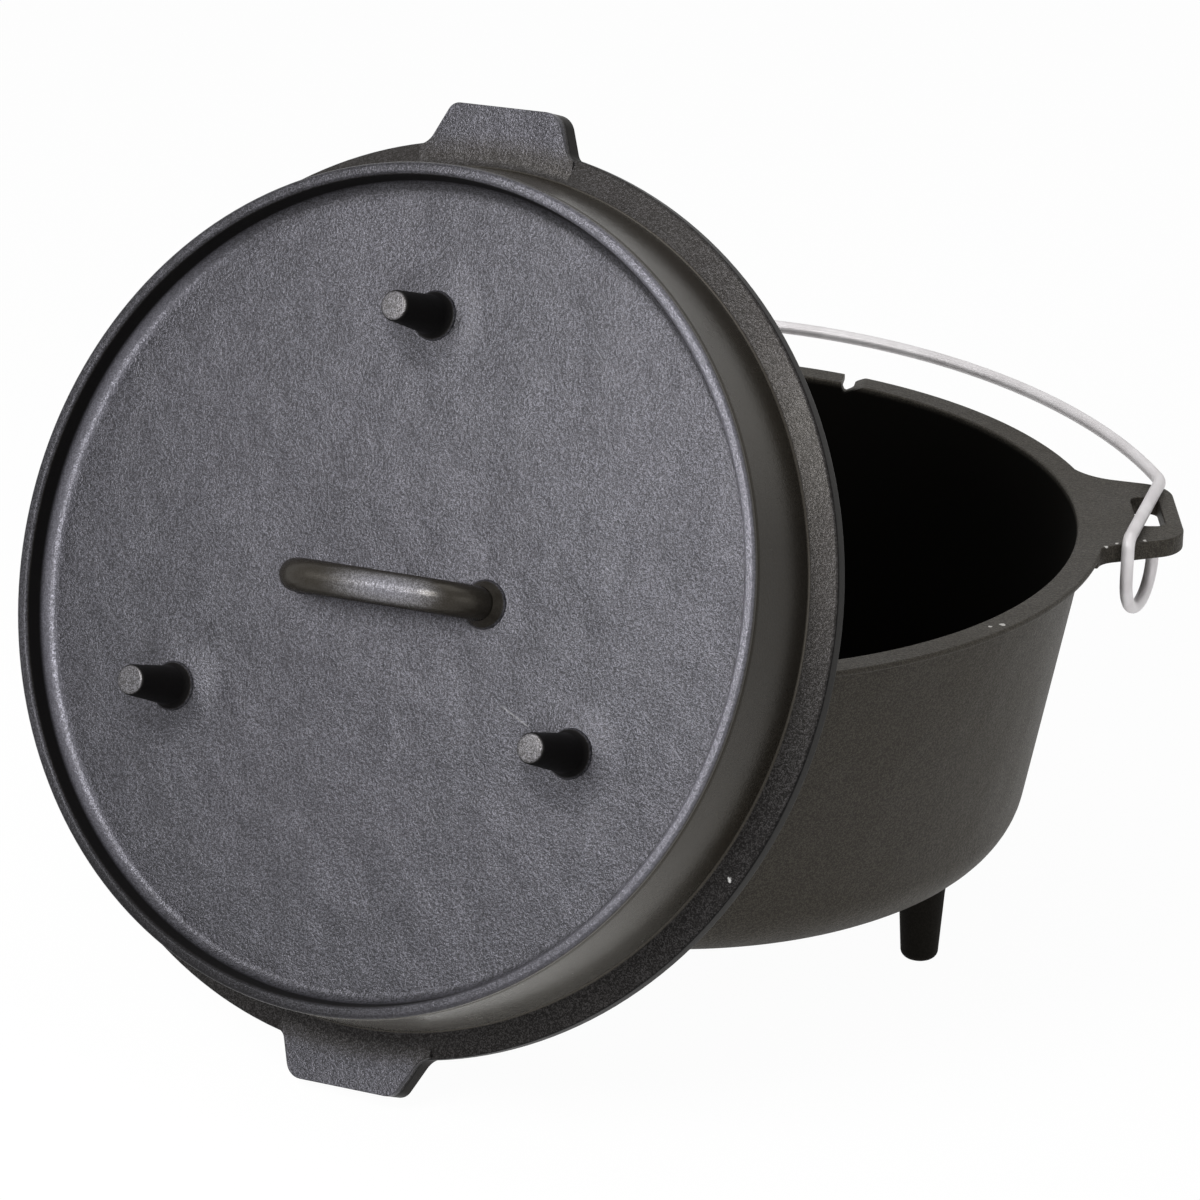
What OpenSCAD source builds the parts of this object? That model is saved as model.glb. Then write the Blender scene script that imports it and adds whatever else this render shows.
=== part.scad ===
// Camp dutch oven: a three-legged cast pot with a wire bail, and its flanged lid leaning on the front.
// Millimetres. The pot stands on z = 0 with its axis on z, the right ear points along +x,
// and the lid leans on the near side of the rim, towards -y.

/* [Pot] */
// Outside diameter across the rim, the nominal size of the oven
rim_d = 304.8; // [260:0.1:360]
// Width of the flat rim that the lid sits on
rim_w = 9.8; // [7:0.1:13]
// Height of the rim's upright outer edge
rim_edge = 4.6; // [3:0.1:6]
// Radius of the cove under the rim
rim_cove = 4; // [2:0.1:4.5]
// Height of the pot from the outside of its base to the rim
pot_h = 117.1; // [95:0.1:150]
// Slope of the wall from upright
wall_draft = 10.5; // [4:0.1:13]
// Thickness of the wall, measured level
wall = 4.2; // [3.4:0.1:6]
// Thickness of the base
base_t = 5; // [4:0.1:8]
// Outside radius between wall and base
base_corner = 25; // [16:0.5:30]
// Width of the notch in the rim for a thermometer wire
notch_w = 8; // [4:0.1:12]
// Depth of that notch
notch_d = 5.6; // [3:0.1:8]
// Direction of the notch, from the right ear
notch_turn = 60.5; // [40:0.5:80]

/* [Legs] */
// Clear height under the base
leg_h = 29.7; // [20:0.1:45]
// Distance of a leg's middle in from the outside of the rim
leg_in = 48.4; // [40:0.1:60]
// Diameter of a leg at its tip
leg_tip_d = 13.2; // [10:0.1:18]
// Diameter of a leg at its root
leg_root_d = 16.6; // [13:0.1:24]
// Rounding of the tip
leg_tip_round = 3; // [1:0.1:4.5]

/* [Ears] */
// Reach of an ear past the rim
ear_reach = 26.2; // [20:0.1:34]
// Width of an ear across its end
ear_tip_w = 48.4; // [36:0.1:60]
// Slope of the ear's sides
ear_slope = 17; // [8:0.5:24]
// Corner radius of an ear
ear_corner = 6; // [3:0.1:9]
// Radius where an ear runs into the rim
ear_flare = 22; // [12:0.5:30]
// Thickness of an ear
ear_t = 6.5; // [5:0.1:8]
// Distance of the slot's middle from the rim
slot_out = 15.5; // [14:0.1:20]
// Width of the slot that holds the bail's hook
slot_w = 9.6; // [8:0.1:11]
// Length of the slot
slot_l = 26.6; // [22:0.1:30]
// Corner radius of the slot
slot_corner = 3.4; // [1.5:0.1:4]

/* [Bail] */
// Thickness of the bail's wire
wire_d = 4.5; // [3.5:0.1:6]
// Distance of a hook's front leg from the rim, measured outwards
hook_out = 4.9; // [3:0.1:7]
// Length of the straight run across an ear
bail_run = 58.4; // [50:0.1:70]
// Splay of that run
bail_splay = 17.4; // [12:0.1:22]
// Slope of the arch where it leaves the shoulder
arch_lean = 16.2; // [12:0.1:20]
// Rise of the arch from level when it lies back
arch_rise = 4.5; // [2:0.1:8]
// Radius of the shoulder bend
shoulder_bend = 9; // [6:0.1:14]
// Radius of the bend over the ear's edge
edge_bend = 3.5; // [3:0.1:3.8]
// Depth of the hook below the top of the ear
hook_depth = 26.2; // [24:0.1:32]
// Depth of the hook's end below the top of the ear
hook_end = 3; // [1:0.1:5]
// Clearance between the hook's end and the slot's outer side
hook_side = 1.35; // [0.8:0.05:1.8]
// Clearance between the bail and the ear's top
bail_gap = 0.4; // [0.3:0.05:0.8]
// Clearance between the hook and the ear's front edge
hook_gap = 0.8; // [0.6:0.05:1.5]

/* [Lid] */
// Overhang of the lid's flange past the rim
flange_over = 0.6; // [0:0.1:1.5]
// Thickness of the flange
flange_t = 5.4; // [4:0.1:8]
// Height of the lid's top face over the flange's underside
field_h = 29.5; // [24:0.1:36]
// Thickness of the lid's plate
plate_t = 6.5; // [5:0.1:9]
// Height of the raised edge over the top face
coal_rim_h = 9.9; // [6:0.1:14]
// Distance of the raised edge's outside from the flange's outside
coal_rim_in = 12.2; // [10:0.1:18]
// Width of the raised edge at its top
coal_rim_w = 3; // [2:0.1:4]
// Radius inside the foot of the raised edge
coal_rim_fillet = 4; // [2:0.1:6]
// Distance of the skirt's foot from the flange's outside
skirt_in = 9.2; // [7:0.1:11]
// Radius between skirt and flange
skirt_cove = 4; // [2:0.1:6]
// Clearance of the locating ring inside the pot's rim
ring_gap = 1.2; // [0.8:0.1:2.5]
// Height of the locating ring
ring_h = 2.6; // [1.5:0.1:4]
// Width of the locating ring
ring_w = 3.8; // [2.5:0.1:5]

/* [Lid fittings] */
// Distance of a foot's middle in from the flange's outside
foot_in = 63.5; // [50:0.1:75]
// Height of a foot over the lid's top face
foot_h = 25.8; // [18:0.1:34]
// Diameter of a foot at its tip
foot_tip_d = 11.8; // [9:0.1:15]
// Diameter of a foot at its root
foot_root_d = 14; // [12:0.1:18]
// Size of the flare round a root on the lid
root_flare = 2.6; // [1:0.1:4]
// Thickness of the handle
grip_d = 12; // [9:0.1:14]
// Distance between the handle's roots
grip_span = 70.4; // [60:0.1:84]
// Height of the handle over the lid's top face
grip_h = 20.5; // [18:0.1:30]
// Radius of the handle's shoulders
grip_bend = 17; // [10:0.1:22]
// Reach of a tab past the flange
tab_reach = 11.6; // [8:0.1:20]
// Width of a tab across its end
tab_tip_w = 41; // [30:0.1:52]
// Slope of a tab's sides
tab_slope = 29; // [15:0.5:40]
// Corner radius of a tab
tab_corner = 5; // [2:0.1:8]
// Thickness of a tab
tab_t = 7.6; // [6:0.1:10]

/* [Leaning lid] */
// Lean of the lid's face from level
lid_lean = 66.05; // [60:0.05:72]
// Direction that the lid faces
lid_turn = -124.95; // [-135:0.05:-115]
// Turn of the lid in its own plane
lid_roll = 5.35; // [2:0.05:8]
// Sideways place of the lid along the rim
lid_shift = -11.2; // [-20:0.1:0]
// Clearance between the lid and the rim
lean_gap = 0.4; // [0.3:0.05:1]
// Clearance between the lid's lower tab and the ground
floor_gap = 0.3; // [0.2:0.05:0.8]

/* [Hidden] */
$fn = 96;
nib = 0.8;
big = 600;

// Pot
rim_r = rim_d / 2;
rim_in_r = rim_r - rim_w;
rim_z = leg_h + pot_h;
leg_ring_r = rim_r - leg_in;
slope = tan(wall_draft);
function outside_r(z) = rim_in_r + wall - (rim_z - z) * slope;
function inside_r(z) = rim_in_r - (rim_z - z) * slope;
inner_corner = base_corner - wall;
floor_z = leg_h + base_t;
corner_x = outside_r(leg_h + base_corner) - base_corner / cos(wall_draft);
inner_corner_x = inside_r(floor_z + inner_corner) - inner_corner / cos(wall_draft);
cove_z = rim_z - rim_edge - rim_cove;
cove_x = outside_r(cove_z) + rim_cove / cos(wall_draft);

// Ears
ear_end = rim_r + ear_reach;
ear_tan = tan(ear_slope);
function ear_half(x) = ear_tip_w / 2 + (ear_end - x) * ear_tan;
slot_x = rim_r + slot_out;
// The flare's circle touches the ear's side and cuts a little into the rim.
flare_bite = 0.8;
side_gap = ear_flare / cos(ear_slope);
side_c = ear_half(0) + side_gap;
flare_reach = rim_r + ear_flare - flare_bite;
side_k = 1 + ear_tan * ear_tan;
flare_root = sqrt(pow(side_c * ear_tan, 2) - side_k * (side_c * side_c - flare_reach * flare_reach));
flare_x = (side_c * ear_tan + flare_root) / side_k;
flare_y = side_c - flare_x * ear_tan;
flare_turn = atan2(flare_y, flare_x);
ear_corner_x = ear_end - ear_corner;
ear_corner_y = ear_half(ear_corner_x) - ear_corner / cos(ear_slope);

// Bail
hook_x = rim_r + hook_out;
axis_y = -ear_half(hook_x);
axis_z = rim_z - ear_t;
front_y = axis_y - (wire_d / 2 + hook_gap) / cos(ear_slope);
run_z = rim_z + wire_d / 2 + bail_gap;
hook_bottom_z = rim_z - hook_depth;
strip_reach = norm([-slot_l / 2 - axis_y, ear_t]);
return_y = axis_y + strip_reach + wire_d / 2 + bail_gap;
return_x = slot_x + slot_w / 2 - wire_d / 2 - hook_side;
u_r = norm([return_x - hook_x, return_y - front_y]) / 2;
shoulder = [hook_x + bail_run * sin(bail_splay), front_y + bail_run * cos(bail_splay), run_z];
apex_far = shoulder[0] / tan(arch_lean);
apex = [0, shoulder[1] + apex_far * cos(arch_rise), run_z + apex_far * sin(arch_rise)];
shoulder_turn = acos(
    sin(bail_splay) * -sin(arch_lean) + cos(bail_splay) * cos(arch_lean) * cos(arch_rise)
);
shoulder_len = shoulder_bend * tan(shoulder_turn / 2);
arch_r = (norm(apex - shoulder) - shoulder_len - nib) * tan(arch_lean);
front_top = [hook_x, front_y, run_z];
front_low = [hook_x, front_y, hook_bottom_z];
return_low = [return_x, return_y, hook_bottom_z];
return_end = [return_x, return_y, rim_z - hook_end];
function mirrored(p) = [-p[0], p[1], p[2]];
route = [
    return_end, return_low, front_low, front_top, shoulder, apex,
    mirrored(shoulder), mirrored(front_top), mirrored(front_low), mirrored(return_low), mirrored(return_end)
];
bends = [0, u_r, u_r, edge_bend, shoulder_bend, arch_r, shoulder_bend, edge_bend, u_r, u_r, 0];

// Lid
flange_r = rim_r + flange_over;
ceiling_h = field_h - plate_t;
coal_top_h = field_h + coal_rim_h;
coal_r = flange_r - coal_rim_in;
skirt_r = flange_r - skirt_in;
skirt_lean = atan2(skirt_r - coal_r, coal_top_h - flange_t);
function skirt_out(h) = skirt_r - (h - flange_t) * tan(skirt_lean);
skirt_cove_h = flange_t + skirt_cove;
skirt_cove_x = skirt_out(skirt_cove_h) + skirt_cove / cos(skirt_lean);
inner_lean = 8;
coal_in_r = coal_r - coal_rim_w;
fillet_h = field_h + coal_rim_fillet;
plate_r = coal_in_r - (coal_top_h - fillet_h) * tan(inner_lean) - coal_rim_fillet / cos(inner_lean);
ring_out_r = rim_in_r - ring_gap;
ring_in_r = ring_out_r - ring_w;
foot_ring_r = flange_r - foot_in;
foot_top_h = field_h + foot_h;
grip_mid_h = field_h + grip_h - grip_d / 2;
tab_r = flange_r + tab_reach;
tab_tan = tan(tab_slope);
function tab_half(y) = tab_tip_w / 2 + (tab_r - y) * tab_tan;
tab_in = skirt_r - skirt_cove;
tab_corner_y = tab_r - tab_corner;
tab_corner_x = tab_half(tab_corner_y) - tab_corner / cos(tab_slope);

// Place of the leaning lid: its ceiling touches the rim and its lower tab touches the ground.
tab_low = tab_corner_x * sin(lid_roll) + tab_corner_y * cos(lid_roll) + tab_corner;
lid_z = floor_gap + sin(lid_lean) * tab_low;
lid_u = rim_r - (ceiling_h - lean_gap - cos(lid_lean) * (rim_z - lid_z)) / sin(lid_lean);
lid_x = lid_u * cos(lid_turn) - lid_shift * sin(lid_turn);
lid_y = lid_u * sin(lid_turn) + lid_shift * cos(lid_turn);

function arc(cx, cy, r, from, to, steps = 6) = [
    for (i = [0 : steps]) let (a = from + (to - from) * i / steps) [cx + r * cos(a), cy + r * sin(a)]
];
function unit(v) = v / norm(v);

// Outside of the pot as a solid of revolution, the shape that legs and ears are trimmed to.
function pot_outline() = concat(
    [[0, leg_h]],
    arc(corner_x, leg_h + base_corner, base_corner, -90, -wall_draft, 10),
    arc(cove_x, cove_z, rim_cove, 180 - wall_draft, 90),
    arc(rim_r - nib, rim_z - rim_edge + nib, nib, -90, 0, 3),
    arc(rim_r - nib, rim_z - nib, nib, 0, 90, 3)
);

module pot_envelope() {
    rotate_extrude() polygon(concat(pot_outline(), [[0, rim_z]]));
}

module pot_body() color("#2a2826") difference() {
    rotate_extrude() polygon(concat(
        pot_outline(),
        arc(rim_in_r + nib, rim_z - nib, nib, 90, 180 - wall_draft, 3),
        arc(inner_corner_x, floor_z + inner_corner, inner_corner, -wall_draft, -90, 10),
        [[0, floor_z]]
    ));
    rotate([0, 0, notch_turn])
        translate([rim_in_r - wall - 4, -notch_w / 2, rim_z - notch_d])
            cube([rim_w + wall + 8, notch_w, notch_d + 1]);
}

module leg(turn) color("#2a2826") difference() {
    rotate([0, 0, turn]) translate([leg_ring_r, 0, 0]) rotate_extrude() polygon(concat(
        [[0, 0]],
        arc(leg_tip_d / 2 - leg_tip_round, leg_tip_round, leg_tip_round, -90, 0),
        [[leg_root_d / 2, leg_h], [leg_root_d / 2, leg_h + base_corner / 2], [0, leg_h + base_corner / 2]]
    ));
    pot_envelope();
}
module leg_front_right() leg(-30);
module leg_back() leg(90);
module leg_front_left() leg(210);

module slot_shape() {
    half_w = slot_w / 2 - slot_corner;
    half_l = slot_l / 2 - slot_corner;
    polygon(concat(
        arc(slot_x + half_w, half_l, slot_corner, 0, 90),
        arc(slot_x - half_w, half_l, slot_corner, 90, 180),
        arc(slot_x - half_w, -half_l, slot_corner, 180, 270),
        arc(slot_x + half_w, -half_l, slot_corner, 270, 360)
    ));
}

// Half of an ear's outline, from inside the rim to the middle of its end.
function ear_edge() = concat(
    [[rim_in_r, flare_y]],
    arc(flare_x, flare_y, ear_flare, 180 + flare_turn, 270 - ear_slope, 10),
    arc(ear_corner_x, ear_corner_y, ear_corner, 90 - ear_slope, 0)
);
function flipped(points) = [for (i = [len(points) - 1 : -1 : 0]) [points[i][0], -points[i][1]]];

module ear() difference() {
    translate([0, 0, rim_z - ear_t]) linear_extrude(ear_t) difference() {
        polygon(concat(ear_edge(), flipped(ear_edge())));
        slot_shape();
    }
    pot_envelope();
}
module ear_right() color("#2a2826") ear();
module ear_left() color("#2a2826") rotate([0, 0, 180]) mirror([0, 1, 0]) ear();

// The wire is swept along its route: a ring of points at each end of a straight run and along each bend.
wire_sides = 12;
function way(i) = unit(route[i + 1] - route[i]);
function turn_at(i) = acos(way(i - 1) * way(i));
function trim_at(i) = bends[i] * tan(turn_at(i) / 2);
function bend_side(i) = cross(unit(cross(way(i - 1), way(i))), way(i - 1));
function bend_centre(i) = route[i] - way(i - 1) * trim_at(i) + bend_side(i) * bends[i];
function bend_steps(i) = bends[i] > 50 ? 44 : 6;
// A bend that follows straight on from another shares its first ring with it.
function shared(i) = i > 1 && norm(route[i] - route[i - 1]) - trim_at(i) - trim_at(i - 1) < 0.1;
last_stop = len(route) - 1;
// Each stop holds a point of the route and its direction there.
stops = concat(
    [[route[0], way(0)]],
    [
        for (i = [1 : last_stop - 1])
            for (k = [shared(i) ? 1 : 0 : bend_steps(i)])
                let (a = turn_at(i) * k / bend_steps(i))
                    [
                        bend_centre(i) - bend_side(i) * bends[i] * cos(a) + way(i - 1) * bends[i] * sin(a),
                        way(i - 1) * cos(a) + bend_side(i) * sin(a)
                    ]
    ],
    [[route[last_stop], way(last_stop - 1)]]
);
function levelled(n, t) = unit(n - t * (n * t));
// The first side direction is carried along the route without twist.
sides = [
    for (i = 0, n = [1, 0, 0]; i < len(stops); i = i + 1, n = i < len(stops) ? levelled(n, stops[i][1]) : n) n
];
rings = [
    for (i = [0 : len(stops) - 1])
        for (k = [0 : wire_sides - 1])
            let (a = 360 * k / wire_sides)
                stops[i][0] + (sides[i] * cos(a) + cross(stops[i][1], sides[i]) * sin(a)) * wire_d / 2
];
function ring_at(i, k) = i * wire_sides + k % wire_sides;

module bail() color("#a7a9a8") polyhedron(
    points = rings,
    faces = concat(
        [[for (k = [0 : wire_sides - 1]) ring_at(0, k)]],
        [
            for (i = [0 : len(stops) - 2])
                for (k = [0 : wire_sides - 1])
                    [ring_at(i, k + 1), ring_at(i, k), ring_at(i + 1, k), ring_at(i + 1, k + 1)]
        ],
        [[for (k = [wire_sides - 1 : -1 : 0]) ring_at(len(stops) - 1, k)]]
    ),
    convexity = 6
);

module lid_pose() {
    translate([lid_x, lid_y, lid_z])
        rotate([0, 0, lid_turn])
            rotate([0, lid_lean, 0])
                rotate([0, 0, 90 + lid_roll])
                    children();
}

module lid_plate() color("#33343a") lid_pose() {
    translate([0, 0, ceiling_h]) cylinder(h = plate_t, r = plate_r);
}

module skirt_shape() {
    rotate_extrude() polygon(concat(
        [[ring_in_r, -ring_h], [ring_out_r, -ring_h], [ring_out_r, 0]],
        arc(flange_r - nib, nib, nib, -90, 0, 3),
        arc(flange_r - nib, flange_t - nib, nib, 0, 90, 3),
        arc(skirt_cove_x, skirt_cove_h, skirt_cove, 270, 180 + skirt_lean),
        [[skirt_out(field_h), field_h], [plate_r, field_h], [plate_r, ceiling_h]]
    ));
}
module lid_skirt() color("#33312e") lid_pose() skirt_shape();

module lid_coal_rim() color("#33312e") lid_pose() {
    rotate_extrude() polygon(concat(
        arc(plate_r, fillet_h, coal_rim_fillet, -90, -inner_lean),
        arc(coal_in_r + nib, coal_top_h - nib, nib, 180 - inner_lean, 90, 3),
        arc(coal_r - nib, coal_top_h - nib, nib, 90, skirt_lean, 3),
        [[skirt_out(field_h), field_h]]
    ));
}

module lid_foot(turn) color("#33343a") lid_pose() {
    rotate([0, 0, turn]) translate([foot_ring_r, 0, field_h]) rotate_extrude() polygon(concat(
        [[0, 0]],
        arc(foot_root_d / 2 + root_flare, root_flare, root_flare, -90, -180),
        arc(foot_tip_d / 2 - nib, foot_h - nib, nib, 0, 90, 3),
        [[0, foot_h]]
    ));
}
module lid_foot_top() lid_foot(90);
module lid_foot_left() lid_foot(210);
module lid_foot_right() lid_foot(330);

module grip_half() {
    translate([grip_span / 2 - grip_bend, 0, grip_mid_h - grip_bend]) rotate([90, 0, 0])
        rotate_extrude(angle = 90) translate([grip_bend, 0]) circle(d = grip_d, $fn = 32);
    translate([grip_span / 2, 0, field_h - grip_d])
        cylinder(h = grip_mid_h - grip_bend - field_h + grip_d, d = grip_d, $fn = 32);
}
module lid_handle() color("#33343a") lid_pose() {
    difference() {
        union() {
            grip_half();
            rotate([0, 0, 180]) grip_half();
            translate([grip_bend - grip_span / 2, 0, grip_mid_h]) rotate([0, 90, 0])
                cylinder(h = grip_span - 2 * grip_bend, d = grip_d, $fn = 32);
            for (s = [-1, 1]) translate([s * grip_span / 2, 0, field_h])
                cylinder(h = root_flare + 1, r1 = grip_d / 2 + root_flare, r2 = grip_d / 2);
        }
        translate([-big / 2, -big / 2, field_h - big]) cube(big);
    }
}

module lid_tab(turn) color("#33312e") lid_pose() {
    difference() {
        rotate([0, 0, turn]) linear_extrude(tab_t) polygon(concat(
            [[-tab_half(tab_in), tab_in], [tab_half(tab_in), tab_in]],
            arc(tab_corner_x, tab_corner_y, tab_corner, tab_slope, 90),
            arc(-tab_corner_x, tab_corner_y, tab_corner, 90, 180 - tab_slope)
        ));
        skirt_shape();
        translate([0, 0, -1]) cylinder(h = tab_t + 2, r = skirt_r - skirt_cove / 2);
    }
}
module lid_tab_top() lid_tab(0);
module lid_tab_bottom() lid_tab(180);

pot_body();
leg_front_right();
leg_back();
leg_front_left();
ear_right();
ear_left();
lid_plate();
lid_skirt();
lid_coal_rim();
lid_handle();
lid_foot_top();
lid_foot_left();
lid_foot_right();
lid_tab_top();
lid_tab_bottom();
bail();
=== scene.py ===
# Camp dutch oven with its lid leaning on the front: the looks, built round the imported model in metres.
import math

import bpy
from mathutils import Matrix, Vector


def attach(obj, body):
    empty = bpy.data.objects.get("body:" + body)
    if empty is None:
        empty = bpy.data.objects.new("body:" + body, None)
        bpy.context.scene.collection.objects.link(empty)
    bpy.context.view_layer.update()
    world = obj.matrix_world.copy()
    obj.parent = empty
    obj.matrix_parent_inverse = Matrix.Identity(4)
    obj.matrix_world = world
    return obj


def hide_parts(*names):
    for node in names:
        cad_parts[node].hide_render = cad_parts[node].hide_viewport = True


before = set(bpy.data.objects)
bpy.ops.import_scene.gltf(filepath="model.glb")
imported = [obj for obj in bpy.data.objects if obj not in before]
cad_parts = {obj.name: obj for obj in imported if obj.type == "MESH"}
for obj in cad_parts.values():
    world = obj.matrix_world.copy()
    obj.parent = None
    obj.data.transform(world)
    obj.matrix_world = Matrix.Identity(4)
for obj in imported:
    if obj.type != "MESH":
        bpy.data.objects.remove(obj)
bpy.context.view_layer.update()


# The pot is a single casting of grey iron with a sloping wall, a flat rim and a coved lip.
# It is turned here from its profile, as the foundry's pattern is, and the ears are poured in one with it.
# Sizes are in mm and degrees from here on.
mm = 0.001
turn_steps, casting_crease, merge_gap = 192, 38, 0.004
rim_r, rim_in_r, rim_z, rim_edge, rim_cove, lip = 152.4, 142.6, 146.8, 2.2, 1.6, 0.9
base_z, floor_z, base_corner, wall, wall_draft = 29.7, 34.7, 25, 4.2, 10.5
base_rings = (0, 35, 70)


def arc(x, y, radius, start, end, steps):
    """Points of a round corner in a profile or outline."""
    turns = [math.radians(start + (end - start) * i / steps) for i in range(steps + 1)]
    return [(x + radius * math.cos(a), y + radius * math.sin(a)) for a in turns]


def traced(name, points):
    """Draws a chain of edges from point to point, and leaves it selected in edit mode."""
    points = [[v * mm for v in point] for point in points]
    bpy.ops.object.select_all(action="DESELECT")
    bpy.ops.mesh.primitive_plane_add(size=0.01)
    piece = bpy.context.object
    piece.name = piece.data.name = name
    bpy.ops.object.mode_set(mode="EDIT")
    bpy.ops.mesh.select_mode(type="VERT")
    bpy.ops.mesh.merge(type="CENTER")
    bpy.ops.transform.translate(value=points[0])
    for here, there in zip(points, points[1:]):
        step = Vector(there) - Vector(here)
        bpy.ops.mesh.extrude_vertices_move(TRANSFORM_OT_translate={"value": step})
    bpy.ops.mesh.select_all(action="SELECT")
    return piece


def drawn(x, y, z):
    """Extrudes what is selected in edit mode by a step."""
    bpy.ops.mesh.extrude_region_move(TRANSFORM_OT_translate={"value": (x * mm, y * mm, z * mm)})


def closed(merged=False, capped=False):
    """Merges doubled points and caps open ends where asked, points the faces outwards and leaves edit mode."""
    bpy.ops.mesh.select_all(action="SELECT")
    if merged:
        bpy.ops.mesh.remove_doubles(threshold=merge_gap * mm)
    if capped:
        bpy.ops.mesh.fill_holes(sides=0)
    bpy.ops.mesh.normals_make_consistent(inside=False)
    bpy.ops.object.mode_set(mode="OBJECT")


def turned(name, profile, steps):
    """Spins a profile of (radius, height) round the z axis into a closed shape."""
    piece = traced(name, [(r, 0, z) for r, z in profile])
    bpy.ops.mesh.spin(steps=steps, angle=math.tau, center=(0, 0, 0), axis=(0, 0, 1))
    closed(merged=True)
    return piece


def picked(piece):
    """Selects one piece alone and makes it the active one."""
    bpy.ops.object.select_all(action="DESELECT")
    bpy.context.view_layer.objects.active = piece
    piece.select_set(True)


def joined(piece, other, operation):
    """Pours one shape into another, or cuts it out, and removes the second shape."""
    picked(piece)
    bpy.ops.object.modifier_add(type="BOOLEAN")
    cut = piece.modifiers[-1]
    cut.operation, cut.solver, cut.object = operation, "EXACT", other
    bpy.ops.object.modifier_apply(modifier=cut.name)
    bpy.data.objects.remove(other)


def about(axis, degrees):
    return Matrix.Rotation(math.radians(degrees), 4, axis)


def shifted(x, y=0, z=0):
    return Matrix.Translation((x * mm, y * mm, z * mm))


def placed(piece, pose):
    """Moves a piece to its place and puts that place into its mesh."""
    picked(piece)
    piece.matrix_world = pose
    bpy.ops.object.transform_apply(location=True, rotation=True, scale=True)


def smoothed(piece, crease):
    """Shades a piece smooth up to an angle, with its flat faces kept flat."""
    picked(piece)
    bpy.ops.object.shade_smooth_by_angle(angle=math.radians(crease))
    bpy.ops.object.modifier_add(type="WEIGHTED_NORMAL")
    piece.modifiers[-1].keep_sharp = True
    bpy.ops.object.modifier_apply(modifier=piece.modifiers[-1].name)


slope, lean = math.tan(math.radians(wall_draft)), math.cos(math.radians(wall_draft))
cove_z = rim_z - rim_edge - rim_cove
inner_corner = base_corner - wall
corner_x = rim_in_r + wall - (rim_z - base_z - base_corner) * slope - base_corner / lean
cove_x = rim_in_r + wall - (rim_z - cove_z) * slope + rim_cove / lean
inner_corner_x = rim_in_r - (rim_z - floor_z - inner_corner) * slope - inner_corner / lean
pot = turned("pot_casting", [(r, base_z) for r in base_rings]
             + arc(corner_x, base_z + base_corner, base_corner, -90, -wall_draft, 14)
             + arc(cove_x, cove_z, rim_cove, 180 - wall_draft, 90, 6)
             + arc(rim_r - lip, rim_z - rim_edge + lip, lip, -90, 0, 4)
             + arc(rim_r - lip, rim_z - lip, lip, 0, 90, 4)
             + arc(rim_in_r + lip, rim_z - lip, lip, 90, 180 - wall_draft, 4)
             + arc(inner_corner_x, floor_z + inner_corner, inner_corner, -wall_draft, -90, 12)
             + [(r, floor_z) for r in reversed(base_rings)], turn_steps)

# A notch in the rim lets a thermometer wire out under the lid. It is cast in, a little askew, with one
# upright side and one that slopes.
notch_turn, notch_skew, notch_start, notch_length, notch_pivot = 59.9, 19, 130, 30, 147.5
notch_open, notch_steep, notch_far = 149, 3.6, -7
notch_outline = ([(notch_steep, notch_open), (3.4, rim_z - 2.4), (2.7, rim_z - 3.4), (2, rim_z - 3.6)]
                 + [(1.2, rim_z - 3.2), (-3.2, rim_z - 0.9), (-4.6, rim_z - 0.2)]
                 + [(notch_far, rim_z + 0.4), (notch_far, notch_open)])
notch = traced("notch_cutter", [(notch_start, y, z) for y, z in notch_outline])
bpy.ops.mesh.edge_face_add()
drawn(notch_length, 0, 0)
closed()
placed(notch, about("Z", notch_turn) @ shifted(notch_pivot) @ about("Z", notch_skew) @ shifted(-notch_pivot))
joined(pot, notch, "DIFFERENCE")


# Two ears are cast on the rim, flush with its top, and run into it by a wide sweep at the back and a small one
# at the front. Each is a flat iron lug with rounded corners, and the bail's hook passes through its slot.
ear_end, ear_half, ear_slope, ear_t, ear_round, ear_bite, ear_sink = 178.6, 24.2, 17, 6.5, 0.9, 0.8, 8
back_flare, back_corner, front_flare, front_corner = 22, 12.5, 8, 12
slot_x, slot_w, slot_l, slot_corner = 167.9, 9.6, 26.6, 3.4
ear_tan = math.tan(math.radians(ear_slope))
ear_cos = math.cos(math.radians(ear_slope))


def slab(name, outline, bottom, top, taper=(1, 1), taper_y=0):
    """Fills an outline of (x, y) and draws it up to a height, with its top drawn in by a taper."""
    piece = traced(name, [(x, y, bottom) for x, y in outline])
    bpy.ops.mesh.edge_face_add()
    drawn(0, 0, top - bottom)
    bpy.ops.transform.resize(value=(*taper, 1), center_override=(0, taper_y * mm, 0))
    closed()
    return piece


def rounded(piece, width):
    """Rounds the sharp edges of the active piece."""
    bpy.ops.object.modifier_add(type="BEVEL")
    bevel = piece.modifiers[-1]
    bevel.width, bevel.segments, bevel.limit_method = width * mm, 3, "ANGLE"
    bevel.angle_limit = math.radians(50)
    bpy.ops.object.modifier_apply(modifier=bevel.name)


def copied(piece):
    """A copy of a piece, with a mesh of its own."""
    picked(piece)
    bpy.ops.object.duplicate(linked=False)
    return bpy.context.object


def ear_edge(flare, corner):
    """One side of an ear, from a flare that bites a little into the rim to the middle of the ear's end."""
    reach, side = rim_r + flare - ear_bite, ear_half + ear_end * ear_tan + flare / ear_cos
    steep = 1 + ear_tan ** 2
    flare_x = (side * ear_tan + math.sqrt((side * ear_tan) ** 2 - steep * (side ** 2 - reach ** 2))) / steep
    flare_y = side - flare_x * ear_tan
    turn = math.degrees(math.atan2(flare_y, flare_x))
    corner_y = ear_half + corner * ear_tan - corner / ear_cos
    return turn, (arc(flare_x, flare_y, flare, 180 + turn, 270 - ear_slope, 14)
                  + arc(ear_end - corner, corner_y, corner, 90 - ear_slope, 4, 10))


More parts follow.
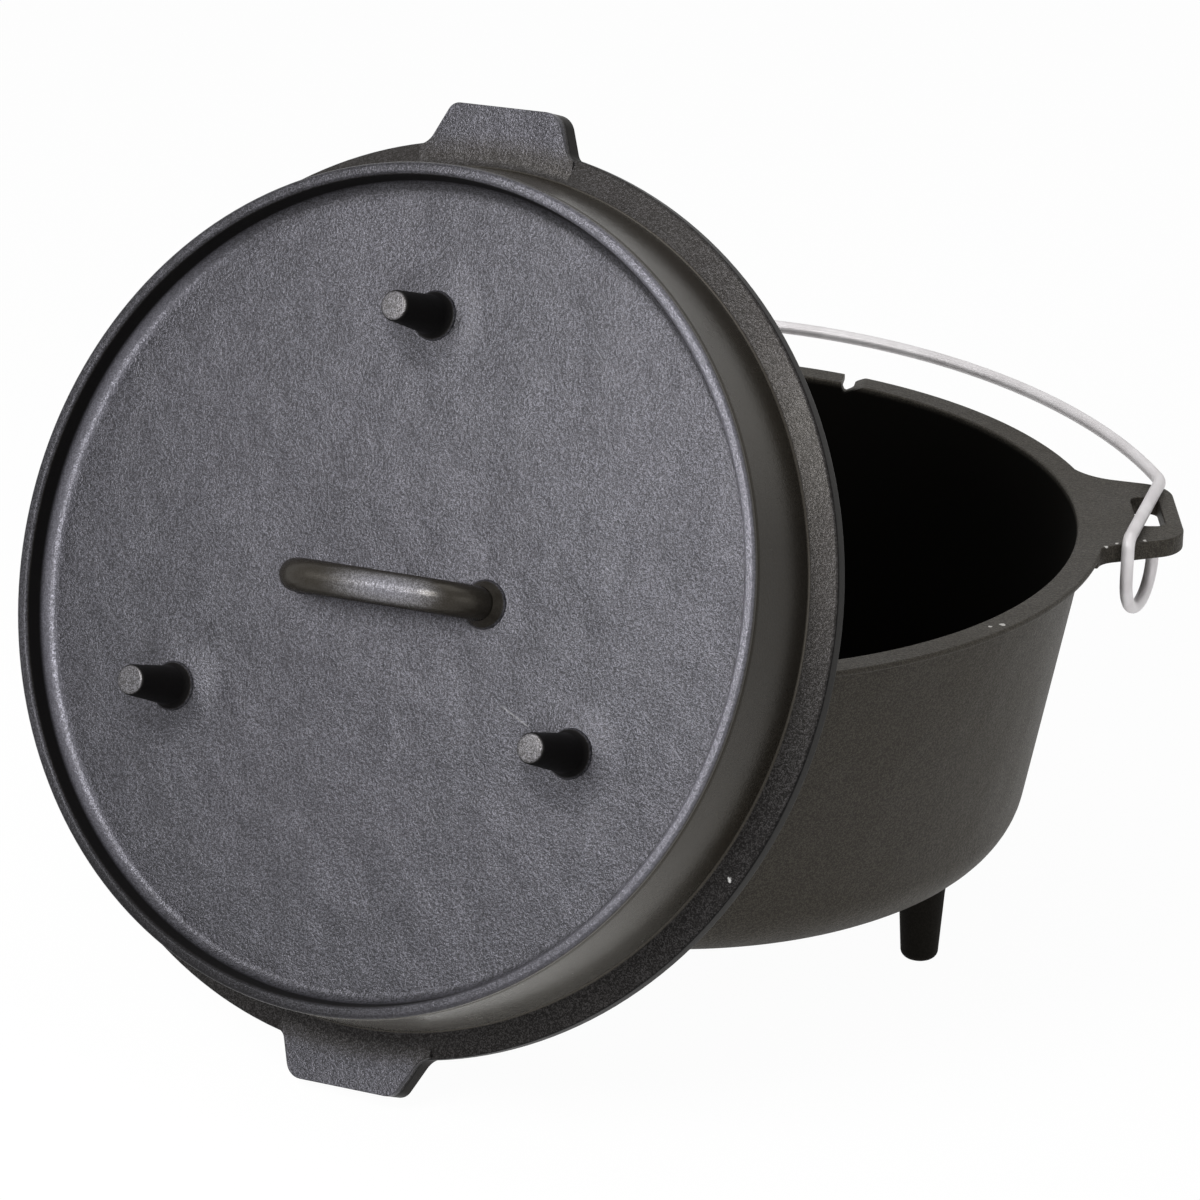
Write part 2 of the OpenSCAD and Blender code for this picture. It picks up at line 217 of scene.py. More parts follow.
def mirrored(side, axis):
    """The other half of an outline, in the order that closes it; axis is (-1, 1) to flip x and (1, -1) to flip y."""
    return [(x * axis[0], y * axis[1]) for x, y in reversed(side)]


back_turn, back_edge = ear_edge(back_flare, back_corner)
front_turn, front_edge = ear_edge(front_flare, front_corner)
ear_root = arc(0, 0, rim_r - ear_sink, -front_turn, back_turn, 12)
slot_side = (arc(slot_x + slot_w / 2 - slot_corner, slot_l / 2 - slot_corner, slot_corner, 0, 90, 6)
             + arc(slot_x - slot_w / 2 + slot_corner, slot_l / 2 - slot_corner, slot_corner, 90, 180, 6))
ear = slab("ear_right", ear_root + back_edge + mirrored(front_edge, (1, -1)), rim_z - ear_t, rim_z)
slot = slab("slot_cutter", slot_side + mirrored(slot_side, (1, -1)), rim_z - 10, rim_z + 5)
joined(ear, slot, "DIFFERENCE")
rounded(ear, ear_round)
left_ear = copied(ear)
placed(left_ear, Matrix.Scale(-1, 4, (1, 0, 0)))
bpy.ops.object.mode_set(mode="EDIT")
closed()
joined(pot, ear, "UNION")
joined(pot, left_ear, "UNION")
smoothed(pot, casting_crease)
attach(pot, "pot")
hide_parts("pot_body", "ear_right", "ear_left")


# The three legs are tapered pegs cast on the base, with a small fillet at the root and a rounded foot.
# One is turned and the other two are copies of it, set a third of a turn apart.
leg_ring_r, leg_tip_r, leg_root_r, leg_tip_round, leg_fillet, leg_sink = 104, 6.6, 8.3, 3, 1.6, 10
leg_turns = {"leg_front_right": -30, "leg_back": 90, "leg_front_left": 210}
peg_steps, peg_crease = 40, 50
leg = turned("leg", [(0, 0), (2.5, 0)]
             + arc(leg_tip_r - leg_tip_round, leg_tip_round, leg_tip_round, -80, 0, 7)
             + [(leg_root_r - 0.3, base_z - 5), (leg_root_r, base_z - 2), (leg_root_r + 0.5, base_z - 0.4)]
             + [(leg_root_r + leg_fillet, base_z + 0.6), (leg_root_r, base_z + leg_sink), (0, base_z + leg_sink)],
             peg_steps)
legs = [leg, copied(leg), copied(leg)]
for leg, (node, turn) in zip(legs, leg_turns.items()):
    leg.name = leg.data.name = "pot_" + node
    placed(leg, about("Z", turn) @ shifted(leg_ring_r))
    smoothed(leg, peg_crease)
    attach(leg, "pot")
    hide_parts(node)


# The pot's finish is oiled and baked iron: a fine pebbled sand-cast skin, warm dark grey outside, with a few knocks
# on the rim and the ear down to bright metal. Inside and under the base it is soot, darkened further as painted
# shade.
class Socket:
    """One output of a node. Sums and products of sockets add the Math nodes that work them out."""

    def __init__(self, tree, out=None):
        self.tree, self.out = tree, out

    def node(self, kind, settings, inputs, output=0):
        """Adds any node with its settings and the values or links of its sockets, and gives one output."""
        made = self.tree.nodes.new("ShaderNode" + kind)
        for key, value in settings.items():
            setattr(made, key, value)
        for key, value in inputs.items():
            live = [s for s in made.inputs if s.enabled]
            socket = live[key] if isinstance(key, int) else next(s for s in live if s.name == key)
            if isinstance(value, Socket):
                self.tree.links.new(value.out, socket)
            else:
                socket.default_value = value
        outs = [s for s in made.outputs if s.enabled]
        named = [s for s in outs if s.name == output]
        return Socket(self.tree, (named or outs or [None])[0 if named or not outs else output])

    def sum_of(self, operation, *values):
        return self.node("Math", {"operation": operation}, dict(enumerate(values)))

    def __add__(self, other):
        return self.sum_of("ADD", self, other)

    def __radd__(self, other):
        return self.sum_of("ADD", other, self)

    def __sub__(self, other):
        return self.sum_of("SUBTRACT", self, other)

    def __rsub__(self, other):
        return self.sum_of("SUBTRACT", other, self)

    def __mul__(self, other):
        return self.sum_of("MULTIPLY", self, other)

    def __rmul__(self, other):
        return self.sum_of("MULTIPLY", other, self)

    def __abs__(self):
        return self.sum_of("ABSOLUTE", self)

    def most(self, other):
        return self.sum_of("MAXIMUM", self, other)

    def least(self, other):
        return self.sum_of("MINIMUM", self, other)

    def long_side(self, other):
        """The long side of a right triangle on this side and another."""
        return self.sum_of("SQRT", self * self + other * other)

    def parts(self):
        """The x, y and z of a place."""
        split = self.node("SeparateXYZ", {}, {"Vector": self}, "X").out.node
        return [Socket(self.tree, part) for part in split.outputs]

    def rise(self, low, high):
        """0 below low, 1 above high, and a smooth step between; the other way round if low is above high."""
        return self.node("MapRange", {"interpolation_type": "SMOOTHSTEP"},
                         {"Value": self, "From Min": min(low, high), "From Max": max(low, high),
                          "To Min": float(low > high), "To Max": float(low < high)}, "Result")

    def step(self, low, high):
        """A rise between two lengths in mm."""
        return self.rise(low * mm, high * mm)

    def mix(self, under, over):
        """A colour between two, with this socket as the share of the second."""
        return self.node("Mix", {"data_type": "RGBA"}, {"Factor": self, "A": under, "B": over}, "Result")


def colour(red, green, blue):
    """A colour as seen on screen, 0 to 255, in the linear numbers that a shader takes."""
    return tuple(c / 255 / 12.92 if c < 10.3 else ((c / 255 + 0.055) / 1.055) ** 2.4
                 for c in (red, green, blue)) + (1,)


def new_finish(name):
    """An empty material and its Object coordinates, in metres."""
    finish = bpy.data.materials.new(name)
    finish.use_nodes = True
    finish.node_tree.nodes.clear()
    return finish, Socket(finish.node_tree).node("TexCoord", {}, {}, "Object")


def noise(place, scale, detail=2.0, roughness=0.55):
    return place.node("TexNoise", {}, {"Vector": place, "Scale": scale, "Detail": detail, "Roughness": roughness},
                      "Fac")


def away(place, point):
    """The distance to a point that is given in mm."""
    return place.node("VectorMath", {"operation": "DISTANCE"}, {0: place, 1: [v * mm for v in point]}, "Value")


def knocks(place, spots):
    """1 within a small ragged patch at each of some points, each with its radius."""
    return sum(((away(place, point) + (noise(place, 900, 1) - 0.5) * (size * mm) * 1.6).step(size, size * 0.6)
                for point, size in spots), 0.0)


def cast_skin(place):
    """Height of the pebbled skin that sand leaves on iron, and the share of bare metal in its finest grain."""
    pebbles, grit = noise(place, 1000, 2, 0.65), noise(place, 2300, 1, 0.6)
    height = pebbles + grit * 0.4 + noise(place, 80, 2) * 2.0 + noise(place, 25, 2) * 6.0
    return height, (grit * 0.6 + pebbles * 0.4).rise(0.42, 0.61)


def bumped(height, strength):
    """The normal of a skin that stands up to 0.3 mm."""
    return height.node("Bump", {}, {"Strength": strength, "Distance": 0.3 * mm, "Height": height}, "Normal")


def dressed(pieces, finish, surface):
    """Ends a finish with its surface and gives it to some pieces."""
    surface.node("OutputMaterial", {}, {"Surface": surface})
    for piece in pieces:
        piece.data.materials.clear()
        piece.data.materials.append(finish)


pot_knocks = (((103.3, -104.8, 146.6), 0.8), ((107.5, -103.0, 146.6), 1.2), ((110.4, -90.0, 146.6), 0.6),
              ((82.3, -116.4, 146.6), 0.6), ((149.8, -33.0, 146.6), 0.7), ((153.9, -30.1, 146.6), 0.8),
              ((163.9, -27.2, 146.6), 0.9))
knock_bright, soot_and_shade_black = colour(205, 203, 200), colour(17, 16, 14)
pot_dark, pot_light, pot_bare = colour(25, 22, 18), colour(33, 30, 25), colour(84, 80, 72)
pot_finish, place = new_finish("pot_iron_finish")
height, grain = cast_skin(place)
x, y, z = place.parts()
radius = x.long_side(y)
past_corner = (radius - corner_x * mm).most(0.0).long_side((z - (base_z + base_corner) * mm).least(0.0))
in_corner = past_corner.step(base_corner - 0.8, base_corner - 2.2)
in_wall = (radius - (z - rim_z * mm) * slope).step(rim_in_r + 2.6, rim_in_r + 1.2)
inside = in_wall * in_corner.most(z.step(50, 56)) * z.step(rim_z - 0.2, rim_z - 2.5)
# Soot and painted shade: the inside is darkened to near black, the outside wall is painted darker towards the bottom,
# and the underside of the base is painted dark.
soot_and_painted_shade = inside.most(z.step(42, 30) * 0.4 + z.step(29.7, 29) * 0.45)
cloud = noise(place, 16, 3)
chips = knocks(place, pot_knocks)
tone = cloud.rise(0.3, 0.7).mix(pot_dark, pot_light)
tone = chips.mix((grain * 0.45).mix(tone, pot_bare), knock_bright)
skin = place.node("BsdfPrincipled", {}, {
    "Base Color": tone, "Metallic": grain * 0.12 + chips * 0.3, "Normal": bumped(height, 0.8),
    "Roughness": 0.6 + (cloud - 0.5) * 0.2 - grain * 0.08,
    "Specular IOR Level": 0.32, "Specular Tint": (1, 0.93, 0.84, 1)}, "BSDF")
# A near-black, dull iron with almost no sheen, for the soot and the painted shade.
soot_and_shade_bsdf = place.node("BsdfPrincipled", {}, {
    "Base Color": soot_and_shade_black, "Roughness": 0.9, "Specular IOR Level": 0.03}, "BSDF")
dressed([pot] + legs, pot_finish, place.node("MixShader", {}, {0: soot_and_painted_shade, 1: skin, 2: soot_and_shade_bsdf}))


# The lid is one casting as well: a flat plate, a deep skirt, a flange that sits on the rim with a low ring
# to centre it, and a raised edge that keeps coals on top. It leans with its hollow side on the rim.
flange_r, flange_t, flange_rise, flange_edge, flange_meet = 153, 5.4, 2, 0.9, 257
field_h, ceiling_h, ceiling_corner, skirt_r, skirt_cove = 29.5, 23, 4, 143.8, 1.2
coal_h, coal_r, coal_w, coal_fillet, coal_lean, coal_bead = 39.4, 140.8, 4.2, 4, 8, 1.4
ring_out_r, ring_in_r, ring_h, ring_edge = 141.4, 137.6, 2.6, 0.8
plate_rings = (0, 45, 90)
lid_pose = shifted(-81.099, -96.486, 151.588) @ about("Z", -124.95) @ about("Y", 66.05) @ about("Z", 95.35)
skirt_turn = math.degrees(math.atan2(skirt_r - coal_r, coal_h - flange_t))
skirt_cos, skirt_tan = math.cos(math.radians(skirt_turn)), math.tan(math.radians(skirt_turn))
skirt_cove_h = flange_t + flange_rise + skirt_cove
skirt_cove_x = skirt_r - (skirt_cove_h - flange_t) * skirt_tan + skirt_cove / skirt_cos
field_r = (coal_r - coal_w - (coal_h - field_h - coal_fillet) * math.tan(math.radians(coal_lean))
           - coal_fillet / math.cos(math.radians(coal_lean)))
edge_groove = [(coal_r, coal_h - 1.9), (coal_r - 0.5, coal_h - 2.5), (coal_r + 0.2, coal_h - 3.3)]
lid = turned("lid_casting", [(r, field_h) for r in plate_rings]
             + arc(field_r, field_h + coal_fillet, coal_fillet, -90, -coal_lean, 8)
             + arc(coal_r - coal_w + coal_bead, coal_h - coal_bead, coal_bead, 180 - coal_lean, 90, 5)
             + arc(coal_r - coal_bead, coal_h - coal_bead, coal_bead, 90, skirt_turn, 5)
             + edge_groove
             + arc(skirt_cove_x, skirt_cove_h, skirt_cove, 180 + skirt_turn, flange_meet, 5)
             + arc(flange_r - flange_edge, flange_t - flange_edge, flange_edge, 90, 0, 4)
             + arc(flange_r - flange_edge, flange_edge, flange_edge, 0, -90, 4)
             + [(ring_out_r, 0)] + arc(ring_out_r - ring_edge, -ring_h + ring_edge, ring_edge, 0, -90, 3)
             + arc(ring_in_r + ring_edge, -ring_h + ring_edge, ring_edge, -90, -180, 3)
             + [(field_r + 3.2, ceiling_h - ceiling_corner)]
             + arc(field_r - 1, ceiling_h - ceiling_corner, ceiling_corner, 0, 90, 6)
             + [(r, ceiling_h) for r in reversed(plate_rings)], turn_steps)

# Two tabs stand on the flange for a lifter or a gloved hand, one at the top and one at the bottom. Each is
# thickest at its end, runs out level with the flange at the skirt, and is filleted into the flange's edge.
tab_end, tab_t, tab_fall, tab_round, tab_taper = 164.6, 8.4, 6, 1.9, (0.95, 0.99)
tab_in, tab_foot, steep_half, slant_half = skirt_r - 2, 149, 30, 31.7
steep_side = ([(steep_half, tab_in), (steep_half, tab_foot)]
              + arc(30.74, 153.66, 4, 255, 202, 6) + arc(17.28, 157.6, 7, 22, 90, 8))
slant_side = ([(slant_half, tab_in), (slant_half, tab_foot)]
              + arc(33.86, 157, 8, 255, 209, 8) + arc(17.56, 159.6, 5, 29, 90, 7))
tab_up = (0, -math.sin(math.radians(tab_fall)), math.cos(math.radians(tab_fall)))
for turn in (0, 180):
    tab = slab("tab", steep_side + mirrored(slant_side, (-1, 1)), 0, tab_t + 1, tab_taper, tab_in)
    bpy.ops.object.mode_set(mode="EDIT")
    bpy.ops.mesh.select_all(action="SELECT")
    bpy.ops.mesh.bisect(plane_co=(0, tab_end * mm, tab_t * mm), plane_no=tab_up, use_fill=True, clear_outer=True)
    bpy.ops.object.mode_set(mode="OBJECT")
    rounded(tab, tab_round)
    placed(tab, about("Z", turn))
    joined(lid, tab, "UNION")
placed(lid, lid_pose)
smoothed(lid, casting_crease)
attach(lid, "lid")
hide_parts("lid_plate", "lid_skirt", "lid_coal_rim", "lid_tab_top", "lid_tab_bottom")


# Three pegs on the lid are its feet when it is turned over as a griddle. Each is a slim taper with a flat
# tip, and a sweep of metal runs from its root into the plate. Pegs and plate are cast in one.
foot_ring_r, foot_h, foot_tip_r, foot_tip_round, foot_root_r, root_sink = 89.5, 25.8, 5.2, 1.2, 6.5, 2
feet_shift_x, feet_shift_y = -0.2, 2
foot_turns = {"lid_foot_top": 90, "lid_foot_left": 210, "lid_foot_right": 330}
foot_sweep = [(8.4, 0), (8, 0.5), (7.2, 1.7), (6.7, 2.8), (foot_root_r, 4)]
foot = turned("lid_foot", [(0, field_h - root_sink), (8.5, field_h - root_sink)]
              + [(r, field_h + up) for r, up in foot_sweep]
              + arc(foot_tip_r - foot_tip_round, field_h + foot_h - foot_tip_round, foot_tip_round, 4, 90, 5)
              + [(0, field_h + foot_h)], peg_steps)
feet = [foot, copied(foot), copied(foot)]
for foot, (node, turn) in zip(feet, foot_turns.items()):
    foot.name = foot.data.name = node + "_peg"
    placed(foot, lid_pose @ shifted(feet_shift_x, feet_shift_y) @ about("Z", turn) @ shifted(foot_ring_r))
    smoothed(foot, peg_crease)
    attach(foot, "lid")
    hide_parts(node)


# The loop handle in the middle of the lid is cast on too: a round bar that springs from a flared root,
# bends over at each shoulder and runs level between them.
grip_r, grip_half_span, grip_mid_h, grip_bend, boss_r = 5.7, 35.2, 44, 14, 8.3
grip_shift_x, grip_shift_y = 1.5, 0.4
boss_rings = [(boss_r, 0), (7.9, 0.5), (7.1, 1.8), (6.4, 3), (grip_r, 4.2)]
toe_rings = [(grip_r, 1.2), (5.8, 0.5), (6, 0)]
straight_parts, shoulder_steps = 6, 12


def ring_started(name, points, radius, x, y, z):
    """Starts a bar or a wire as an open ring at its end, and leaves it selected in edit mode."""
    bpy.ops.object.select_all(action="DESELECT")
    bpy.ops.mesh.primitive_circle_add(vertices=points, radius=radius * mm, fill_type="NOTHING",
                                      location=(x * mm, y * mm, z * mm))
    piece = bpy.context.object
    piece.name = piece.data.name = name
    bpy.ops.object.transform_apply(location=True, rotation=True, scale=True)
    bpy.ops.object.mode_set(mode="EDIT")
    return piece


def ringed(x, rings, height, radius):
    """Draws a bar through rings of (radius, height over the plate) from the last ring's height and radius."""
    for ring_r, ring_up in rings:
        drawn(0, 0, ring_up - height)
        swell = ring_r / radius
        bpy.ops.transform.resize(value=(swell, swell, swell),
                                 center_override=(x * mm, 0, (field_h + ring_up) * mm))
        height, radius = ring_up, ring_r


def shouldered(x):
    """Bends the bar over by a quarter turn."""
    bpy.ops.mesh.spin(steps=shoulder_steps, angle=math.pi / 2, axis=(0, 1, 0),
                      center=(x * mm, 0, (grip_mid_h - grip_bend) * mm))


handle = ring_started("lid_loop_handle", 32, boss_r, grip_half_span, 0, field_h - root_sink)
bend_up = grip_mid_h - grip_bend - field_h
ringed(grip_half_span, boss_rings, -root_sink, boss_r)
drawn(0, 0, bend_up - boss_rings[-1][1])
shouldered(grip_half_span - grip_bend)
for part in range(straight_parts):
    drawn((grip_bend - grip_half_span) * 2 / straight_parts, 0, 0)
shouldered(grip_bend - grip_half_span)
ringed(-grip_half_span, toe_rings, bend_up, grip_r)
drawn(0, 0, -root_sink)
closed(merged=True, capped=True)
placed(handle, lid_pose @ shifted(grip_shift_x, grip_shift_y))
smoothed(handle, peg_crease)
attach(handle, "lid")
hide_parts("lid_handle")


# The lid's finish is the same oiled iron. The plate and the raised edge are a bluish grey with a bright fine
# grain, and the skirt and the handle are smoother and warmer. The feet, the edge's inner wall and other parts are
# darkened with a black painted shade, and painted highlights and a painted reflection lighten the lip, the fillet
# and the skirt. Use has rubbed the feet's tips paler, and the top of the handle paler, with a painted highlight
# there.
wear_and_highlight_spot = (10.5, 2, 50)
lid_knocks = (((129.9, -74.2, 5.8), 0.9), ((-25.0, 146.7, 8.8), 0.8), ((-15.6, 149.0, 8.8), 0.8),
              ((-22.7, -147.4, 8.5), 1))
scratch_x, scratch_y, scratch_l, scratch_run_x, scratch_run_y = 48.7, -30.9, 13.8, 0.907, -0.421
lid_bright, rubbed_metal_and_highlight, shade_black = colour(205, 204, 203), colour(196, 195, 200), colour(14, 13, 13)
plate_dark, plate_light, plate_bare_and_highlight = colour(18, 18, 19), colour(26, 25, 27), colour(118, 117, 125)
side_dark, side_light, side_bare_and_reflection = colour(30, 26, 20), colour(38, 34, 27), colour(96, 94, 90)
lid_finish, place = new_finish("lid_iron_finish")
local = place.node("Mapping", {"vector_type": "TEXTURE"},
                   {"Vector": place, "Location": lid_pose.to_translation(), "Rotation": lid_pose.to_euler("XYZ")})
x, y, h = local.parts()
across, radius = abs(x), x.long_side(y)
cloud, mottle = noise(place, 14, 3), noise(place, 60, 4, 0.6)

# The plate swells softly round each foot, under the cast grain.
height, grain = cast_skin(place)
roots = [(foot_ring_r * math.cos(math.radians(turn)), foot_ring_r * math.sin(math.radians(turn)) + feet_shift_y,
          field_h) for turn in foot_turns.values()]
height = height + 5.0 * sum((away(local, root).step(20, 6) for root in roots), 0.0)

# Each zone of the casting is found by its radius from the lid's axis and its height over the flange's seat.
on_field = radius.step(coal_r - 4, coal_r - 5) * h.step(field_h - 3, field_h - 1)
on_fillet = on_field * radius.step(129.5, 132.5)
on_peg = h.step(field_h + 0.5, field_h + 1.3)
on_grip = on_peg * radius.step(60, 55)
# The top of the handle is rubbed paler, and round this spot a painted highlight is laid on it as well.
wear_and_highlight = on_grip * away(local, wear_and_highlight_spot).step(27, 1) * h.step(46.2, 49.6)
on_foot = on_peg * radius.step(55, 60) * radius.step(125, 120)
on_tip = on_foot * h.step(field_h + foot_h - 0.4, field_h + foot_h - 0.1)
on_wall = (radius.step(131.5, 133.5) * radius.step(138.5, 137.5)
           * h.step(field_h + 2, field_h + 4) * h.step(coal_h - 0.4, coal_h - 1.6))
on_edge = h.step(coal_h - 1.4, coal_h - 0.4) * radius.step(coal_r - 5, coal_r - 4)
on_skirt = h.step(7.5, 9) * h.step(38.5, 37.5) * radius.step(138, 139)
on_flange = h.step(tab_t + 1.2, tab_t) * radius.step(skirt_r + 0.1, skirt_r + 0.6) * h.step(4.2, 5.2)
on_tab = across.step(34, 22) * radius.step(skirt_r + 3, skirt_r + 13) * h.step(5.4, 6.4)
on_side = h.step(5.4, 4.6) * radius.step(151, 152)
on_under = h.step(24.6, 23.6) * radius.step(138, 137.4)
chips = knocks(local, lid_knocks)
from_x, from_y = x - scratch_x * mm, y - scratch_y * mm
along = from_x * scratch_run_x + from_y * scratch_run_y
aside = abs(from_y * scratch_run_x - from_x * scratch_run_y)
scratch = along.step(0, 2) * along.step(scratch_l, scratch_l - 2) * aside.step(0.4, 0.1)

bluish = (on_field - on_grip - on_foot + on_tip * 0.6 + wear_and_highlight * 0.8).most(on_edge.most(on_flange * 0.4 + on_tab * 0.6))
# Painted shade on the flange, heavier towards negative y and speckled by the grain.
flange_painted_shade = (on_flange - on_tab) * (0.4 + y.step(30, -60) * 0.25) * (1.4 - grain * 0.8)
# Painted shade on the raised edge, towards negative x and negative y.
edge_painted_shade = on_edge * (x.step(60, -80) * 0.4 + y.step(-60, -130) * 0.45)
# Painted shade on a band of the skirt and on the fillet towards positive y.
skirt_and_fillet_painted_shade = on_skirt * y.step(-90, 20) * y.step(80, 30) * 0.4 + on_fillet * y.step(50, 120) * 0.4
# Painted shade: the feet's bodies, the edge's inner wall, the handle away from its highlight, the lid's outer edge
# and its underside, with the shades below, take the black shade finish.
painted_shade = (1.0 - chips) * (on_foot - on_tip + on_wall + on_grip * (1.0 - wear_and_highlight) * 0.4 + on_side * 0.85 + on_under * 0.6
                        + flange_painted_shade + edge_painted_shade + skirt_and_fillet_painted_shade)
plate_tone = cloud.rise(0.3, 0.7).mix(plate_dark, plate_light)
# Bare grain, and painted highlights: the raised edge paler towards positive x, the fillet paler towards negative x,
# and the handle's highlight.
plate_tone = (grain * (0.2 + mottle * 0.3) + wear_and_highlight * 0.3 + on_edge * x.step(-20, 100) * 0.3
              + on_fillet * x.step(-50, -120) * 0.3).mix(plate_tone, plate_bare_and_highlight)
plate_tone = (scratch * 0.12 + chips).mix(plate_tone, lid_bright)
side_tone = cloud.rise(0.3, 0.7).mix(side_dark, side_light)
# Bare grain, and a painted reflection that makes the skirt paler towards negative y.
side_tone = (grain * 0.1 + on_skirt * y.step(-60, -130) * 0.7).mix(side_tone, side_bare_and_reflection)
# Rubbed metal on the feet's tips, and rubbed metal with a painted highlight on the handle's top.
side_tone = (wear_and_highlight * (0.25 + grain * 0.55) + on_tip * (0.08 + grain * 0.16)).mix(side_tone, rubbed_metal_and_highlight)
side_tone = chips.mix(side_tone, lid_bright)
soft = bumped(height, 0.2)
plate = place.node("BsdfPrincipled", {}, {
    "Base Color": plate_tone, "Metallic": grain * 0.45, "Normal": bumped(height, 0.75),
    "Roughness": 0.345 + (mottle - 0.5) * 0.12,
    "Specular IOR Level": 0.34, "Specular Tint": (0.93, 0.92, 1, 1)}, "BSDF")
side = place.node("BsdfPrincipled", {}, {
    "Base Color": side_tone, "Metallic": (chips + on_tip + wear_and_highlight * 1.6) * 0.3, "Normal": soft,
    "Roughness": 0.26 + (mottle - 0.5) * 0.1,
    "Specular IOR Level": 0.42, "Specular Tint": (1, 0.93, 0.82, 1)}, "BSDF")
# The black shade finish is a dull copy of the iron that paints the shade mixed in above.
shade = place.node("BsdfPrincipled", {}, {
    "Base Color": shade_black, "Normal": soft, "Roughness": 0.5, "Specular IOR Level": 0.08}, "BSDF")
skin = place.node("MixShader", {}, {0: bluish, 1: side, 2: plate})
dressed([lid, handle] + feet, lid_finish, place.node("MixShader", {}, {0: painted_shade, 1: skin, 2: shade}))


# The bail is one length of zinc-plated steel wire. Each end drops over the ear's front edge, turns back
# under it and comes up through the slot, and the run between is a wide arch that lies back on the ears.
wire_r, wire_points, hook_x, front_y, run_z, hook_low_z = 2.25, 20, 157.3, -33.901, 149.45, 120.6
return_x, return_y, return_z, hook_bend = 169.1, -9.476, 143.8, 13.563
shoulder, edge_bend, shoulder_bend, arch_bend = (174.764, 21.826, 149.45), 3.5, 11.4, 180.97
arch_lean, arch_rise, shortest_run = math.radians(16.2), math.radians(4.5), 0.02
wire_dull, wire_bright = colour(220, 216, 217), colour(234, 231, 232)
arch_far = shoulder[0] / math.tan(arch_lean)
arch_top = (0, shoulder[1] + arch_far * math.cos(arch_rise), run_z + arch_far * math.sin(arch_rise))
half_route = [(return_x, return_y, return_z), (return_x, return_y, hook_low_z), (hook_x, front_y, hook_low_z),
              (hook_x, front_y, run_z), shoulder]
far_route = [(-px, py, pz) for px, py, pz in reversed(half_route)]
route = [Vector(point) * mm for point in half_route + [arch_top] + far_route]
half_bends = [(hook_bend, 10), (hook_bend, 10), (edge_bend, 8), (shoulder_bend, 8)]
bends = half_bends + [(arch_bend, 64)] + half_bends[::-1]
bail = ring_started("bail_wire", wire_points, wire_r, *half_route[0])
here = route[0]
for before, corner, after, (bend_r, steps) in zip(route, route[1:], route[2:], bends):
    way_in, way_out = (corner - before).normalized(), (after - corner).normalized()
    turn = way_in.angle(way_out)
    trim = bend_r * mm * math.tan(turn / 2)
    start = corner - way_in * trim
    if (start - here).length > shortest_run * mm:
        bpy.ops.mesh.extrude_region_move(TRANSFORM_OT_translate={"value": start - here})
    axis = way_in.cross(way_out).normalized()
    centre = start + axis.cross(way_in) * bend_r * mm
    bpy.ops.mesh.spin(steps=steps, angle=-turn, axis=axis, center=centre)
    here = corner + way_out * trim
bpy.ops.mesh.extrude_region_move(TRANSFORM_OT_translate={"value": route[-1] - here})
closed(merged=True, capped=True)
smoothed(bail, peg_crease)
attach(bail, "bail")
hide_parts("bail")

bail_finish, place = new_finish("bail_zinc_finish")
dull = noise(place, 90, 3)
skin = place.node("BsdfPrincipled", {}, {
    "Base Color": dull.rise(0.3, 0.7).mix(wire_dull, wire_bright), "Metallic": 0.4,
    "Roughness": 0.5 + (dull - 0.5) * 0.15}, "BSDF")
dressed([bail], bail_finish, skin)


# The stage is a plain white studio sweep: a pale floor that shows the object's soft shadow, and white round it.
# Both look white to the camera and in the iron's sheen, and light the object less than they show.
floor_size, floor_glow, sky_light = 12, 0.97, 0.25
white, paper_white = (1, 1, 1, 1), (0.95, 0.95, 0.95, 1)


def in_view(tree):
    """1 for rays that show the studio, straight or in gloss and glass, and 0 for those that light the object."""
    path = Socket(tree).node("LightPath", {}, {}, "Is Camera Ray").out.node
    straight, glossy, through = [Socket(tree, path.outputs[key]) for key in
                                 ("Is Camera Ray", "Is Glossy Ray", "Is Transmission Ray")]
    return straight.most(glossy.most(through))


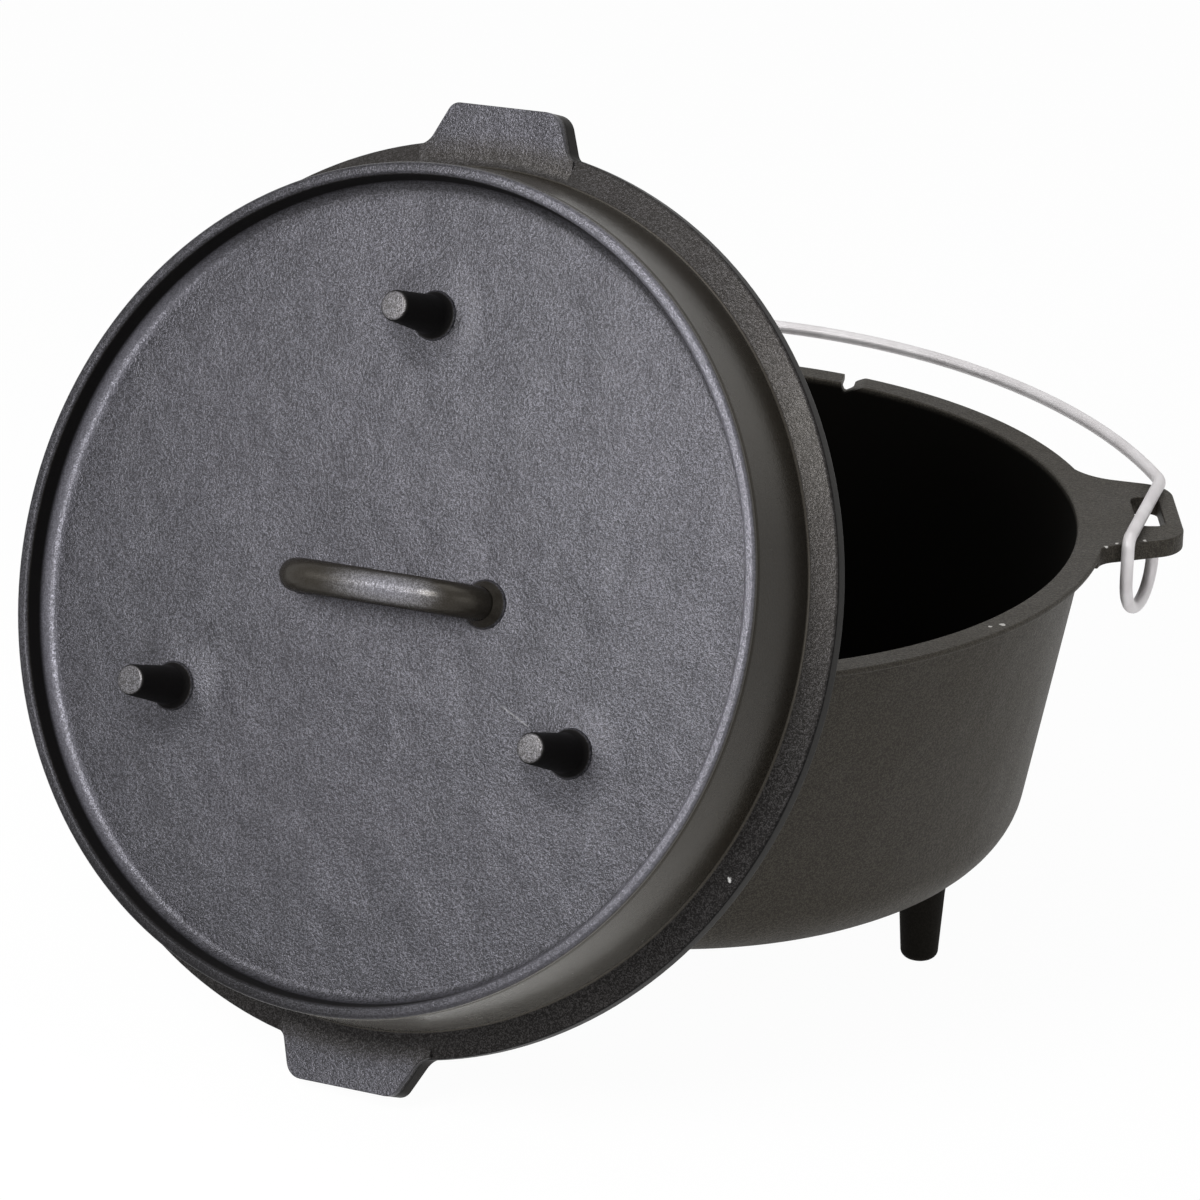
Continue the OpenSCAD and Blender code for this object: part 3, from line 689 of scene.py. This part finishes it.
bpy.ops.object.select_all(action="DESELECT")
bpy.ops.mesh.primitive_plane_add(size=floor_size)
floor = bpy.context.object
floor.name = "studio_floor"
bpy.ops.object.mode_set(mode="EDIT")
bpy.ops.mesh.subdivide(number_cuts=2)
bpy.ops.object.mode_set(mode="OBJECT")
floor_finish, place = new_finish("floor_white")
shown = in_view(place.tree)
paper = place.node("BsdfDiffuse", {}, {"Color": paper_white}, "BSDF")
glow = place.node("Emission", {}, {"Color": white, "Strength": 1.0}, "Emission")
dressed([floor], floor_finish, place.node("MixShader", {}, {0: shown * floor_glow, 1: paper, 2: glow}))

world = bpy.data.worlds.new("studio_white")
bpy.context.scene.world = world
world.use_nodes = True
world.node_tree.nodes.clear()
shown = in_view(world.node_tree)
light = shown.node("Background", {}, {"Color": white, "Strength": sky_light + shown * (1 - sky_light)}, "Background")
light.node("OutputWorld", {}, {"Surface": light})


# Soft boxes light it as in a plain studio: a wide one at the left that sheens the lid, a fill from the front
# right and one overhead.
for name, spot, aim, size, power in (("key_left", (-0.67, -0.65, 0.69), (-0.05, -0.1, 0.15), 0.5, 11.5),
                                     ("fill_front", (0.9, -1.6, 0.9), (0.05, 0, 0.1), 1.0, 4),
                                     ("top_soft", (0.3, 0.2, 1.7), (0, 0, 0.1), 1.2, 6)):
    bpy.ops.object.light_add(type="AREA", location=spot)
    box = bpy.context.object
    box.name = name
    box.data.size, box.data.energy = size, power
    box.rotation_euler = (Vector(aim) - Vector(spot)).to_track_quat("-Z", "Y").to_euler()


# The camera stands a little to the left and looks down at the oven, with a long lens.
# Its focal length was fitted in pixels of the picture's width.
sensor, picture_pixels, focal_pixels = 36, 1200, 6397.02
stand = (-0.11323, -2.0593, 0.96498)
right, forward = Vector((0.99913, -0.03468, 0.02315)), Vector((0.0409, 0.92307, -0.38246))
bpy.ops.object.camera_add()
camera = bpy.context.object
camera.name = "photo_view"
turn = Matrix((right, right.cross(forward), -forward)).transposed().to_4x4()
camera.matrix_world = Matrix.Translation(stand) @ turn
camera.data.sensor_width, camera.data.lens = sensor, focal_pixels / picture_pixels * sensor
camera.data.clip_end = 20
bpy.context.scene.camera = camera
bpy.context.scene.view_settings.view_transform = "Standard"
